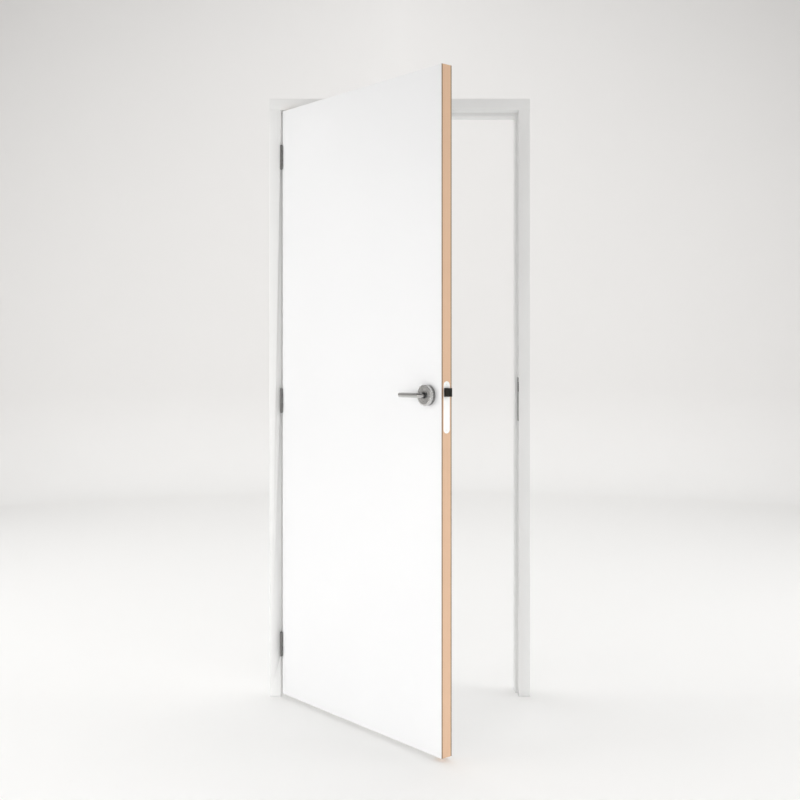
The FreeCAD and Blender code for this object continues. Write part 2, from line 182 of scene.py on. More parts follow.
def frame_paint(name, along):
    """Satin paint with brush marks that run along one axis."""
    material, surface = shader(name, 0.42)
    stretch = [1.0, 1.0, 1.0]
    stretch[along] = 0.03
    marks = noise(material, object_place(material, scale=stretch), 420.0, 3.0)
    cloud = noise(material, object_place(material), 3.0, 2.0)
    tint(material, surface, cloud, PAINT_DARK, PAINT_LIGHT)
    polish(material, surface, marks, 0.36, 0.5)
    bump(material, surface, marks, 0.00008, 0.6)
    return material


def rounded(corners, radii, closed=True, steps=4):
    """A line through the corners, each rounded by its own radius. Nought leaves a corner sharp."""
    count = len(corners)
    points = []
    for index in range(count):
        here = Vector(corners[index])
        inside = closed or 0 < index < count - 1
        if not inside or radii[index] == 0:
            points.append(here)
            continue
        into = (Vector(corners[index - 1]) - here).normalized()
        out = (Vector(corners[(index + 1) % count]) - here).normalized()
        half = into.angle(out) / 2
        centre = here + (into + out).normalized() * radii[index] / math.sin(half)
        first = here + into * radii[index] / math.tan(half) - centre
        last = here + out * radii[index] / math.tan(half) - centre
        sweep = math.pi - 2 * half
        for step in range(steps + 1):
            share = step / steps
            arm = first * math.sin((1 - share) * sweep) + last * math.sin(share * sweep)
            points.append(centre + arm / math.sin(sweep))
    return points


def box_outline(low, high, corner, steps=4):
    """The outline in Y and Z of a box, with its corners rounded."""
    corners = [(low.y, low.z), (high.y, low.z), (high.y, high.z), (low.y, high.z)]
    return rounded(corners, [corner] * 4, steps=steps)


def extrude_outline(points, low, high, place=AS_IT_STANDS):
    """A bar with that section, from low to high along its own third axis, set in place by a matrix."""
    mesh = bmesh.new()
    rings = []
    for level in (low, high):
        rings.append([mesh.verts.new(place @ Vector((point.x, point.y, level))) for point in points])
    count = len(points)
    for index in range(count):
        after = (index + 1) % count
        mesh.faces.new((rings[0][index], rings[0][after], rings[1][after], rings[1][index]))
    mesh.faces.new(list(reversed(rings[0])))
    mesh.faces.new(rings[1])
    return mesh


def make_object(name, mesh, materials, smooth=30.0):
    """Turn a finished bmesh into an object, with its edges sharp past an angle in degrees."""
    bmesh.ops.recalc_face_normals(mesh, faces=mesh.faces)
    data = bpy.data.meshes.new(name)
    mesh.to_mesh(data)
    mesh.free()
    for material in materials:
        data.materials.append(material)
    piece = bpy.data.objects.new(name, data)
    bpy.context.scene.collection.objects.link(piece)
    return smoothed(piece, smooth)


def smoothed(piece, smooth=30.0):
    """Shade a piece smooth, with its edges sharp past an angle in degrees."""
    piece.data.shade_smooth()
    piece.data.set_sharp_from_angle(angle=math.radians(smooth))
    return piece


def settle(piece):
    """Apply a piece's modifiers, so that a plain mesh is left."""
    view = bpy.context.evaluated_depsgraph_get()
    data = bpy.data.meshes.new_from_object(piece.evaluated_get(view))
    piece.modifiers.clear()
    piece.data = data
    return piece


def block(low, high):
    """A plain block, for cutting or for a start."""
    mesh = bmesh.new()
    bmesh.ops.create_cube(mesh, size=1.0)
    middle = (Vector(low) + Vector(high)) / 2
    span = Vector(high) - Vector(low)
    for vertex in mesh.verts:
        vertex.co = Vector([middle[axis] + vertex.co[axis] * span[axis] for axis in range(3)])
    return make_object("block", mesh, [])


def cut_out(piece, cutters):
    """Cut pockets into a piece and drop the cutting blocks."""
    for cutter in cutters:
        tool = piece.modifiers.new("pocket", "BOOLEAN")
        tool.operation = "DIFFERENCE"
        tool.solver = "EXACT"
        tool.object = cutter
    settle(piece)
    for cutter in cutters:
        bpy.data.objects.remove(cutter)
    return piece


def fit(piece, body, slot, *nodes):
    """Hang a piece on its body in place of the nodes that it stands for."""
    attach(piece, body)
    if nodes:
        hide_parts(*nodes)
    return piece


upright_paint = frame_paint("upright_paint", 2)
level_paint = frame_paint("level_paint", 0)
hinge_jamb_low, hinge_jamb_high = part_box("hinge_jamb")
lock_jamb_low, lock_jamb_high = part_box("lock_jamb")
strike_low, strike_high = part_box("strike_plate")
front_y = hinge_jamb_low.y
rear_y = hinge_jamb_high.y
leaf_low = shut_box("front_skin")[0]
leaf_high = shut_box("back_skin")[1]
plate_low, plate_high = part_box("jamb_hinge_plate_top")
rebate_x = plate_low.x + strike_high.x - strike_low.x
stop_y = strike_high.y + (strike_low.y - front_y)
strike_x = strike_low.x

hinge_jamb_outline = rounded([
    (hinge_jamb_low.x, front_y),
    (rebate_x, front_y),
    (rebate_x, stop_y),
    (hinge_jamb_high.x, stop_y),
    (hinge_jamb_high.x, rear_y),
    (hinge_jamb_low.x, rear_y),
], (ARRIS, ARRIS, 0, ARRIS, ARRIS, ARRIS))
hinge_jamb = make_object(
    "hinge_jamb_timber", extrude_outline(hinge_jamb_outline, 0.0, hinge_jamb_high.z), [upright_paint])
LEVELS = ("bottom", "middle", "top")
CLEAR = 0.01
hinge_beds = []
for level in LEVELS:
    low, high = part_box("jamb_hinge_plate_" + level)
    hinge_beds.append(block((low.x, front_y - CLEAR, low.z), (rebate_x + CLEAR, high.y, high.z)))
fit(cut_out(hinge_jamb, hinge_beds), "frame", "frame_paint", "hinge_jamb")

# A plate let into an edge has its outline drawn in Y and Z and its thickness along X.
on_edge = Matrix(((0, 0, 1, 0), (1, 0, 0, 0), (0, 1, 0, 0), (0, 0, 0, 1)))
STRIKE_CORNER = 0.005
strike_outline = box_outline(strike_low, strike_high, STRIKE_CORNER, steps=6)
lock_jamb_outline = rounded([
    (strike_x, front_y),
    (lock_jamb_high.x, front_y),
    (lock_jamb_high.x, rear_y),
    (lock_jamb_low.x, rear_y),
    (lock_jamb_low.x, stop_y),
    (strike_x, stop_y),
], (ARRIS, ARRIS, ARRIS, ARRIS, ARRIS, 0))
lock_jamb = make_object(
    "lock_jamb_timber", extrude_outline(lock_jamb_outline, 0.0, lock_jamb_high.z), [upright_paint])
dust_low, dust_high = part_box("strike_box")
pockets = [
    make_object("bed", extrude_outline(strike_outline, strike_x - CLEAR, strike_high.x, on_edge), []),
    block((strike_x - CLEAR, dust_low.y, dust_low.z), dust_high),
]
fit(cut_out(lock_jamb, pockets), "frame", "frame_paint", "lock_jamb")

head_outline = rounded([
    (front_y, hinge_jamb_high.z),
    (rear_y, hinge_jamb_high.z),
    (rear_y, head_high.z),
    (front_y, head_high.z),
], [ARRIS] * 4)
head_board = make_object(
    "head_timber", extrude_outline(head_outline, head_low.x, head_high.x, on_edge), [level_paint])
stop_outline = rounded([
    (stop_y, head_low.z),
    (rear_y, head_low.z),
    (rear_y, hinge_jamb_high.z + 2 * ARRIS),
    (stop_y, hinge_jamb_high.z + 2 * ARRIS),
], (ARRIS, ARRIS, 0, 0))
head_stop = make_object(
    "head_stop_timber",
    extrude_outline(stop_outline, hinge_jamb_high.x, lock_jamb_low.x, on_edge), [level_paint])
fit(head_board, "frame", "frame_paint", "head_jamb")
fit(head_stop, "frame", "frame_paint")

# Strike: a pressed steel plate let in flush with the rebate, brushed upright, with a window that
# the latch drops through into a black moulded dust box.
STRIKE_STEEL = (0.21, 0.207, 0.203, 1)
BOX_BLACK = (0.022, 0.022, 0.024, 1)
WINDOW_CORNER = 0.003
PRESSED_EDGE = 0.0003
MOULDED_EDGE = 0.0002
EASED_PAST = 35.0
LINES_PER_METRE = 1800.0


def shaded(colour, share):
    """A colour made darker, or lighter where the share is more than one."""
    return tuple(part * share for part in colour[:3]) + (1,)


def brushed_steel(name, colour, roughness, along, axes=AS_IT_STANDS, relief=0.5, shade=0.82):
    """Steel rubbed with fine lines along one of its pattern's axes, with a faint cloud of wear."""
    material, surface = shader(name, roughness, 1.0)
    stretch = [1.0, 1.0, 1.0]
    stretch[along] = 0.015
    lines = noise(material, object_place(material, axes, stretch), LINES_PER_METRE, 3.0, 0.6)
    cloud = noise(material, object_place(material, axes), 45.0, 3.0)
    tint(material, surface, lines, shaded(colour, shade), colour)
    polish(material, surface, cloud, roughness - 0.05, roughness + 0.06)
    bump(material, surface, lines, 0.00004, relief)
    return material


def moulded_plastic(name, colour, roughness, axes=AS_IT_STANDS, shine=0.5):
    """Plastic with the fine texture of its mould."""
    material, surface = shader(name, roughness)
    surface.inputs["Specular IOR Level"].default_value = shine
    grain = noise(material, object_place(material, axes), 2600.0, 2.0)
    tint(material, surface, grain, colour, shaded(colour, 1.35), low=0.4, high=0.7)
    polish(material, surface, grain, roughness - 0.06, roughness + 0.08)
    bump(material, surface, grain, 0.00006, 0.5)
    return material


def join_rings(mesh, rings):
    """Faces between each ring of points and the next. A ring may be one point that is repeated."""
    for lower, upper in zip(rings, rings[1:]):
        for here in range(len(lower)):
            after = (here + 1) % len(lower)
            corners = [lower[here], lower[after], upper[after], upper[here]]
            mesh.faces.new(list(dict.fromkeys(corners)))


def turned(name, profile, place, materials, closed=False, steps=48, smooth=30.0):
    """A turned piece: radii and heights spun about their own upright axis and set in place."""
    mesh = bmesh.new()
    rings = []
    for radius, height in profile:
        if radius == 0:
            rings.append([mesh.verts.new(place @ Vector((0, 0, height)))] * steps)
            continue
        ring = []
        for step in range(steps):
            angle = 2 * math.pi * step / steps
            point = Vector((radius * math.cos(angle), radius * math.sin(angle), height))
            ring.append(mesh.verts.new(place @ point))
        rings.append(ring)
    join_rings(mesh, rings + (rings[:1] if closed else []))
    return make_object(name, mesh, materials, smooth)


def screw_heads(node, outward):
    """The middle of each screw's head in a CAD node: its outermost ring of points."""
    mesh = bmesh.new()
    mesh.from_mesh(frame["nodes"][node].data)
    bmesh.ops.remove_doubles(mesh, verts=mesh.verts, dist=0.000001)
    waiting = set(mesh.verts)
    places = []
    while waiting:
        edge = [waiting.pop()]
        reached = []
        while edge:
            vertex = edge.pop()
            reached.append(vertex.co.copy())
            for link in vertex.link_edges:
                other = link.other_vert(vertex)
                if other in waiting:
                    waiting.remove(other)
                    edge.append(other)
        top = max(point.dot(outward) for point in reached)
        ring = [point for point in reached if point.dot(outward) > top - 0.00001]
        places.append(sum(ring, Vector()) / len(ring))
    mesh.free()
    return sorted(places, key=lambda place: (round(place.z, 4), round(place.x, 4)))


HEAD_RADIUS = 0.0038
SHANK_RADIUS = 0.002
HEAD_DEPTH = 0.0016


def countersinks(heads, outward):
    """Cutters for the holes of a plate: a cone for each head and a bore for its shank."""
    cutters = []
    facing = outward.to_track_quat("Z", "Y").to_matrix().to_4x4()
    slope = (HEAD_RADIUS - SHANK_RADIUS) / HEAD_DEPTH
    profile = [
        (0, -CLEAR),
        (SHANK_RADIUS, -CLEAR),
        (SHANK_RADIUS, -HEAD_DEPTH),
        (HEAD_RADIUS + slope * HEAD_DEPTH, HEAD_DEPTH),
        (0, HEAD_DEPTH),
    ]
    for head in heads:
        cutters.append(turned("countersink", profile, Matrix.Translation(head) @ facing, [], steps=24))
    return cutters


def ease_edges(piece, width, segments=2):
    """Break a piece's sharp edges."""
    tool = piece.modifiers.new("eased", "BEVEL")
    tool.width = width
    tool.segments = segments
    tool.limit_method = "ANGLE"
    tool.angle_limit = math.radians(EASED_PAST)
    return smoothed(settle(piece))


to_left = Vector((-1, 0, 0))
to_right = Vector((1, 0, 0))
strike_heads = screw_heads("strike_screws", to_left)
strike_steel = brushed_steel("strike_steel", STRIKE_STEEL, 0.34, 2)
strike = make_object(
    "strike", extrude_outline(strike_outline, strike_x, strike_high.x, on_edge), [strike_steel])
BOX_WALL = 0.001
wall = Vector((0, BOX_WALL, BOX_WALL))
window_outline = box_outline(dust_low + wall, dust_high - wall, WINDOW_CORNER)
window = make_object(
    "window", extrude_outline(window_outline, strike_x - CLEAR, strike_high.x + CLEAR, on_edge), [])
cut_out(strike, [window] + countersinks(strike_heads, to_left))
fit(ease_edges(strike, PRESSED_EDGE), "frame", "strike_steel", "strike_plate")

box_black = moulded_plastic("dust_box_black", BOX_BLACK, 0.45)
dust_box = block(dust_low, dust_high)
dust_box.name = "dust_box"
dust_box.data.materials.append(box_black)
hollow = block(
    (dust_low.x - CLEAR, dust_low.y + BOX_WALL, dust_low.z + BOX_WALL),
    (dust_high.x - BOX_WALL, dust_high.y - BOX_WALL, dust_high.z - BOX_WALL))
fit(ease_edges(cut_out(dust_box, [hollow]), MOULDED_EDGE), "frame", "box_plastic", "strike_box")

# Screws: countersunk, cross-headed and zinc plated, each stopped at its own turn. One tree makes
# them all, from points at the middle of every head.
ZINC = (0.60, 0.60, 0.585, 1)
SCREW_TURN_SEED = 7


def grow(tree, kind, settings=None, **inputs):
    """A node of a tree. An input is a plain value, or another node's output."""
    node = tree.nodes.new(kind)
    for name, value in (settings or {}).items():
        setattr(node, name, value)
    for name, value in inputs.items():
        socket = node.inputs[name.replace("_", " ")]
        if isinstance(value, bpy.types.NodeSocket):
            tree.links.new(value, socket)
        else:
            socket.default_value = value
    return node


def make_screw_tree():
    tree = bpy.data.node_groups.new("countersunk_screws", "GeometryNodeTree")
    tree.interface.new_socket(name="Heads", in_out="INPUT", socket_type="NodeSocketGeometry")
    sizes = {
        "Head radius": HEAD_RADIUS,
        "Shank radius": SHANK_RADIUS,
        "Head depth": HEAD_DEPTH,
        "Length": 0.025,
        "Cross reach": 0.0023,
        "Cross width": 0.0009,
        "Cross depth": 0.0011,
    }
    for name, value in sizes.items():
        socket = tree.interface.new_socket(name=name, in_out="INPUT", socket_type="NodeSocketFloat")
        socket.default_value = value
    tree.interface.new_socket(name="Outward", in_out="INPUT", socket_type="NodeSocketVector")
    tree.interface.new_socket(name="Seed", in_out="INPUT", socket_type="NodeSocketInt")
    tree.interface.new_socket(name="Finish", in_out="INPUT", socket_type="NodeSocketMaterial")
    tree.interface.new_socket(name="Screws", in_out="OUTPUT", socket_type="NodeSocketGeometry")
    given = tree.nodes.new("NodeGroupInput").outputs

    def scaled(value, factor):
        node = grow(tree, "ShaderNodeMath", {"operation": "MULTIPLY"})
        tree.links.new(value, node.inputs[0])
        node.inputs[1].default_value = factor
        return node.outputs[0]

    def plus(first, second):
        node = grow(tree, "ShaderNodeMath", {"operation": "ADD"})
        tree.links.new(first, node.inputs[0])
        tree.links.new(second, node.inputs[1])
        return node.outputs[0]

    def vector(**parts):
        return grow(tree, "ShaderNodeCombineXYZ", **parts).outputs[0]

    cone = grow(
        tree, "GeometryNodeMeshCone", Vertices=24, Radius_Top=given["Head radius"],
        Radius_Bottom=given["Shank radius"], Depth=given["Head depth"])
    head = grow(
        tree, "GeometryNodeTransform", Geometry=cone.outputs["Mesh"],
        Translation=vector(Z=scaled(given["Head depth"], -1.0)))
    cross = []
    for first, second in (("Cross reach", "Cross width"), ("Cross width", "Cross reach")):
        size = vector(X=scaled(given[first], 2.0 if first == "Cross reach" else 1.0),
                      Y=scaled(given[second], 2.0 if second == "Cross reach" else 1.0),
                      Z=scaled(given["Cross depth"], 2.0))
        cross.append(grow(tree, "GeometryNodeMeshCube", Size=size).outputs["Mesh"])
    driven = tree.nodes.new("GeometryNodeMeshBoolean")
    driven.operation = "DIFFERENCE"
    tree.links.new(head.outputs["Geometry"], driven.inputs["Mesh 1"])
    for arm in cross:
        tree.links.new(arm, driven.inputs["Mesh 2"])
    bar = grow(
        tree, "GeometryNodeMeshCylinder", Vertices=16, Radius=given["Shank radius"],
        Depth=plus(given["Length"], scaled(given["Head depth"], -1.0)))
    shank = grow(
        tree, "GeometryNodeTransform", Geometry=bar.outputs["Mesh"],
        Translation=vector(Z=scaled(plus(given["Length"], given["Head depth"]), -0.5)))
    whole = tree.nodes.new("GeometryNodeJoinGeometry")
    tree.links.new(driven.outputs["Mesh"], whole.inputs["Geometry"])
    tree.links.new(shank.outputs["Geometry"], whole.inputs["Geometry"])
    facing = grow(tree, "FunctionNodeAlignRotationToVector", {"axis": "Z"}, Vector=given["Outward"])
    chance = tree.nodes.new("FunctionNodeRandomValue")
    chance.data_type = "FLOAT"
    chance.inputs[2].default_value = 0.0
    chance.inputs[3].default_value = math.pi
    tree.links.new(given["Seed"], chance.inputs["Seed"])
    twist = grow(tree, "FunctionNodeAxisAngleToRotation", Axis=(0, 0, 1), Angle=chance.outputs[1])
    stopped = grow(
        tree, "FunctionNodeRotateRotation", {"rotation_space": "LOCAL"},
        Rotation=facing.outputs["Rotation"], Rotate_By=twist.outputs["Rotation"])
    driven_in = grow(
        tree, "GeometryNodeInstanceOnPoints", Points=given["Heads"], Instance=whole.outputs["Geometry"],
        Rotation=stopped.outputs["Rotation"])
    real = grow(tree, "GeometryNodeRealizeInstances", Geometry=driven_in.outputs["Instances"])
    finished = grow(
        tree, "GeometryNodeSetMaterial", Geometry=real.outputs["Geometry"], Material=given["Finish"])
    result = tree.nodes.new("NodeGroupOutput")
    tree.links.new(finished.outputs["Geometry"], result.inputs["Screws"])
    return tree


screw_tree = make_screw_tree()


def drive_screws(name, heads, outward, finish, body, slot, node):
    """Set a screw at each head and put them in place of their CAD node."""
    data = bpy.data.meshes.new(name)
    data.from_pydata(heads, [], [])
    piece = bpy.data.objects.new(name, data)
    bpy.context.scene.collection.objects.link(piece)
    tool = piece.modifiers.new("screws", "NODES")
    tool.node_group = screw_tree
    values = {"Outward": outward, "Seed": SCREW_TURN_SEED, "Finish": finish}
    for item in screw_tree.interface.items_tree:
        if item.in_out == "INPUT" and item.name in values:
            tool[item.identifier] = values[item.name]
    return fit(smoothed(settle(piece)), body, slot, node)


def plated(name, colour):
    """Plated steel: soft and a little uneven."""
    material, surface = shader(name, 0.35, 1.0)
    cloud = noise(material, object_place(material), 380.0, 3.0)
    tint(material, surface, cloud, shaded(colour, 0.75), colour)
    polish(material, surface, cloud, 0.28, 0.45)
    bump(material, surface, cloud, 0.00003, 0.4)
    return material


screw_zinc = plated("screw_zinc", ZINC)
jamb_heads = screw_heads("jamb_hinge_screws", to_right)
out_of_stile = (hang.to_3x3() @ to_left).normalized()
out_of_edge = (hang.to_3x3() @ to_right).normalized()
leaf_heads = screw_heads("leaf_hinge_screws", out_of_stile)
drive_screws(
    "strike_plate_screws", strike_heads, to_left, screw_zinc, "frame", "screw_steel", "strike_screws")
drive_screws(
    "jamb_plate_screws", jamb_heads, to_right, screw_zinc, "frame", "screw_steel", "jamb_hinge_screws")
drive_screws(
    "leaf_plate_screws", leaf_heads, out_of_stile, screw_zinc, "leaf", "screw_steel", "leaf_hinge_screws")

# Hinges: steel strip blanks, notched, rolled round a loose pin until they almost meet themselves and
# let in flush. The jamb's half has three knuckles and the leaf's half has two.
HINGE_STEEL = (0.25, 0.248, 0.244, 1)
PIN_STEEL = (0.13, 0.128, 0.125, 1)
KNUCKLES = 5
KNUCKLE_GAP = 0.0004
ROLLED = math.radians(285)
ROLL_STEPS = 24
STRIP_EDGE = 0.0002
PIN_HEAD = 0.0015
PIN_HEAD_EDGE = 0.0009
PIN_RADIUS = 0.0019
strip = rebate_x - plate_low.x
barrel = pin.x - plate_low.x
hinge_reach = plate_high.y - pin.y


def hinge_half(name, side, low_z, high_z, own_knuckles, material):
    """One half of a hinge about its pin, with the leaf shut. Side is -1 for the jamb and 1 for the leaf."""
    outer = []
    inner = []
    for step in range(ROLL_STEPS + 1):
        angle = -ROLLED * step / ROLL_STEPS
        outer.append(Vector((side * barrel * math.cos(angle), barrel * math.sin(angle))))
        inner.append(Vector((side * (barrel - strip) * math.cos(angle), (barrel - strip) * math.sin(angle))))
    outline = [Vector((side * barrel, hinge_reach))] + outer
    outline += list(reversed(inner)) + [Vector((side * (barrel - strip), hinge_reach))]
    place = Matrix.Translation((pin.x, pin.y, 0))
    half = make_object(name, extrude_outline(outline, low_z, high_z, place), [material])
    pitch = (high_z - low_z) / KNUCKLES
    notches = []
    for index in range(KNUCKLES):
        if index in own_knuckles:
            continue
        start = low_z + pitch * index - KNUCKLE_GAP / 2
        end = low_z + pitch * (index + 1) + KNUCKLE_GAP / 2
        if index == 0:
            start -= CLEAR
        if index == KNUCKLES - 1:
            end += CLEAR
        notches.append(block(
            (pin.x - barrel - CLEAR, pin.y - barrel - CLEAR, start),
            (pin.x + barrel + CLEAR, pin.y + barrel + KNUCKLE_GAP, end)))
    return cut_out(half, notches)


hinge_steel = brushed_steel("hinge_steel", HINGE_STEEL, 0.36, 2)
leaf_hinge_steel = brushed_steel("leaf_hinge_steel", HINGE_STEEL, 0.36, 2, unhang)
pin_steel = brushed_steel("pin_steel", PIN_STEEL, 0.32, 2)
for level in LEVELS:
    low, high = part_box("jamb_hinge_plate_" + level)
    jamb_half = hinge_half("jamb_hinge_" + level, -1, low.z, high.z, (0, 2, 4), hinge_steel)
    near = [head for head in jamb_heads if low.z < head.z < high.z]
    cut_out(jamb_half, countersinks(near, to_right))
    fit(ease_edges(jamb_half, STRIP_EDGE), "frame", "hinge_steel", "jamb_hinge_plate_" + level)
    leaf_half = hinge_half("leaf_hinge_" + level, 1, low.z, high.z, (1, 3), leaf_hinge_steel)
    near = [unhang @ head for head in leaf_heads if low.z < head.z < high.z]
    cut_out(leaf_half, countersinks(near, to_left))
    ease_edges(leaf_half, STRIP_EDGE)
    leaf_half.data.transform(hang)
    fit(leaf_half, "leaf", "hinge_steel", "leaf_hinge_plate_" + level)
    cap = barrel - KNUCKLE_GAP
    pin_profile = rounded([
        (0, low.z - PIN_HEAD),
        (cap, low.z - PIN_HEAD),
        (cap, low.z),
        (PIN_RADIUS, low.z),
        (PIN_RADIUS, high.z),
        (cap, high.z),
        (cap, high.z + PIN_HEAD),
        (0, high.z + PIN_HEAD),
    ], (0, PIN_HEAD_EDGE, 0, 0, 0, 0, PIN_HEAD_EDGE, 0), closed=False)
    loose_pin = turned(
        "hinge_pin_" + level + "_turned", pin_profile, Matrix.Translation((pin.x, pin.y, 0)), [pin_steel],
        steps=32)
    fit(loose_pin, "frame", "hinge_steel", "hinge_pin_" + level)

# Leaf frame: planed softwood, the lock stile left bare and the hinge stile and rails primed on their
# outer edges, with a block let in for the lock and a card core between the skins. The solids keep
# their own shapes.
PINE_EARLY = (0.735, 0.51, 0.352, 1)
PINE_LATE = (0.615, 0.357, 0.21, 1)
RING_SPACING = 0.0042
RING_WANDER = 0.012
PRIMER = (0.78, 0.775, 0.765, 1)
COAT = 0.0003
CARD = (0.45, 0.33, 0.21, 1)


def maths(material, operation, value, *others):
    node = add(material, "ShaderNodeMath", operation=operation)
    for index, part in enumerate((value,) + others):
        if isinstance(part, bpy.types.NodeSocket):
            wire(material, part, node.inputs[index])
        else:
            node.inputs[index].default_value = part
    return node.outputs[0]


def distance_from(material, axes, scale):
    """How far a point is from the origin of those axes, in their scale."""
    reach = add(material, "ShaderNodeVectorMath", operation="LENGTH")
    wire(material, object_place(material, axes, scale), reach.inputs[0])
    return reach.outputs["Value"]


def place_along(material, axes, side):
    """Where a point is along one of those axes."""
    place = add(material, "ShaderNodeSeparateXYZ")
    wire(material, object_place(material, axes), place.inputs[0])
    return place.outputs[side]


def pine(name, pith, grain_turn=AS_IT_STANDS):
    """Planed softwood. The pith is a point of the shut leaf, and the turn sets the grain upright."""
    material, surface = shader(name, 0.55)
    axes = grain_turn @ Matrix.Translation(-Vector(pith)) @ unhang
    bend = noise(material, object_place(material, axes, (1, 1, 0.12)), 9.0, 2.0)
    across = distance_from(material, axes, (1, 1, 0))
    wander = spread(material, bend, 0, 1, -RING_WANDER, RING_WANDER)
    reach = maths(material, "ADD", across, wander)
    ring = maths(material, "FRACT", maths(material, "DIVIDE", reach, RING_SPACING))
    late = maths(material, "POWER", ring, 3.0)
    fibre = noise(material, object_place(material, axes, (1, 1, 0.02)), 1500.0, 3.0, 0.6)
    wood = blend_colours(material, late, PINE_EARLY, PINE_LATE)
    fade = spread(material, fibre, 0.35, 0.65, 0.0, 0.22)
    streaked = blend_colours(material, fade, wood, shaded(PINE_EARLY, 0.72))
    wire(material, streaked, surface.inputs["Base Color"])
    wire(material, spread(material, late, 0, 1, 0.6, 0.45), surface.inputs["Roughness"])
    bump(material, surface, fibre, 0.00006, 0.6)
    return material


def prime(material, side, compare, limit):
    """A pale coat of primer on the faces that lie beyond a limit along one axis of the shut leaf."""
    surface = material.node_tree.nodes["Principled BSDF"]
    coat = maths(material, compare, place_along(material, unhang, side), limit)
    wood = surface.inputs["Base Color"].links[0].from_socket
    wire(material, blend_colours(material, coat, wood, PRIMER), surface.inputs["Base Color"])


def card(name):
    """Brown card, mottled with its pulp."""
    material, surface = shader(name, 0.85)
    pulp = noise(material, object_place(material, unhang), 700.0, 4.0, 0.65)
    tint(material, surface, pulp, CARD, shaded(CARD, 1.2), low=0.3, high=0.7)
    bump(material, surface, pulp, 0.0001, 0.5)
    return material


def dress(node, material):
    """Give a CAD node that keeps its shape a better material."""
    slots = frame["nodes"][node].data.materials
    slots.clear()
    slots.append(material)


leaf_middle = (leaf_low + leaf_high) / 2
lay_flat = Matrix.Rotation(math.radians(90), 4, "Y")
stile_pine = pine("stile_pine", (leaf_high.x + 0.03, leaf_middle.y - 0.09, 0))
hung_pine = pine("hung_pine", (leaf_low.x - 0.04, leaf_middle.y + 0.06, 0))
foot_pine = pine("foot_pine", (0, leaf_middle.y + 0.07, leaf_middle.z), lay_flat)
top_pine = pine("top_pine", (0, leaf_middle.y - 0.05, leaf_middle.z), lay_flat)
prime(hung_pine, "X", "LESS_THAN", leaf_low.x + COAT)
prime(hung_pine, "Z", "LESS_THAN", leaf_low.z + COAT)
prime(foot_pine, "Z", "LESS_THAN", leaf_low.z + COAT)
prime(top_pine, "Z", "GREATER_THAN", leaf_high.z - COAT)
block_pine = pine("block_pine", (leaf_high.x - 0.1, leaf_middle.y + 0.05, 0))
dress("hinge_stile", hung_pine)
dress("lock_stile", stile_pine)
dress("bottom_rail", foot_pine)
dress("top_rail", top_pine)
dress("lock_block", block_pine)
dress("core", card("core_card"))

# Skins: hardboard sheets glued on both sides and sprayed white, but left brown and furry at the lock
# edge and inside. The front one is notched for the hinges, and both are bored for the spindle.
LACQUER = (0.712, 0.714, 0.719, 1)
SAWN = (0.30, 0.205, 0.135, 1)
SKIN_ARRIS = 0.0006
FACING = 0.3


def sprayed_white(name):
    """White lacquer with a trace of orange peel."""
    material, surface = shader(name, 0.34)
    peel = noise(material, object_place(material, unhang), 260.0, 2.0)
    cloud = noise(material, object_place(material, unhang), 1.6, 2.0)
    tint(material, surface, cloud, shaded(LACQUER, 0.985), LACQUER)
    polish(material, surface, cloud, 0.30, 0.40)
    bump(material, surface, peel, 0.00005, 0.35)
    return material


def sawn_board(name):
    """The cut edge of hardboard: pressed brown fibre."""
    material, surface = shader(name, 0.8)
    fibre = noise(material, object_place(material, unhang, (1, 1, 0.25)), 1400.0, 4.0, 0.7)
    layers = noise(material, object_place(material, unhang, (0.05, 1, 0.05)), 900.0, 2.0)
    brown = blend_colours(material, spread(material, fibre, 0.35, 0.65, 0, 1), shaded(SAWN, 0.65), SAWN)
    layered = blend_colours(material, spread(material, layers, 0.5, 0.8, 0, 0.5), brown, shaded(SAWN, 1.3))
    wire(material, layered, surface.inputs["Base Color"])
    bump(material, surface, fibre, 0.00012, 0.7)
    return material


white_face = sprayed_white("white_face")
brown_edge = sawn_board("brown_edge")
spindle_low, spindle_high = shut_box("spindle")
spindle_x = (spindle_low.x + spindle_high.x) / 2
handle_z = (spindle_low.z + spindle_high.z) / 2
SPINDLE_HOLE = 0.011


def skin(name, node, outward, cutters):
    """A sheet whose outer edges are eased. Outward is -1 for the front and 1 for the back."""
    low, high = shut_box(node)
    sheet = block(low, high)
    sheet.name = name
    mesh = bmesh.new()
    mesh.from_mesh(sheet.data)
    outer_y = high.y if outward > 0 else low.y
    rim = [edge for edge in mesh.edges if all(abs(vertex.co.y - outer_y) < 0.0001 for vertex in edge.verts)]
    bmesh.ops.bevel(mesh, geom=rim, offset=SKIN_ARRIS, segments=3, profile=0.5, affect="EDGES")
    mesh.to_mesh(sheet.data)
    mesh.free()
    bore_middle = Matrix.Translation((spindle_x, (low.y + high.y) / 2, handle_z))
    along_y = bore_middle @ Matrix.Rotation(math.radians(90), 4, "X")
    bore_profile = [(0, -CLEAR), (SPINDLE_HOLE, -CLEAR), (SPINDLE_HOLE, CLEAR), (0, CLEAR)]
    cut_out(sheet, [turned("bore", bore_profile, along_y, [])] + cutters)
    sheet.data.materials.clear()
    sheet.data.materials.append(white_face)
    sheet.data.materials.append(brown_edge)
    for face in sheet.data.polygons:
        at_lock_edge = face.normal.x > FACING
        inside = face.normal.y * outward < -FACING
        face.material_index = 1 if at_lock_edge or inside else 0
    smoothed(sheet)
    sheet.data.transform(hang)
    return fit(sheet, "leaf", "leaf_lacquer", node)


leaf_beds = []
for level in LEVELS:
    low, high = shut_box("leaf_hinge_plate_" + level)
    leaf_beds.append(block((leaf_low.x - CLEAR, pin.y, low.z), (leaf_low.x + strip, high.y, high.z)))
skin("front_face", "front_skin", -1, leaf_beds)
skin("back_face", "back_skin", 1, [])

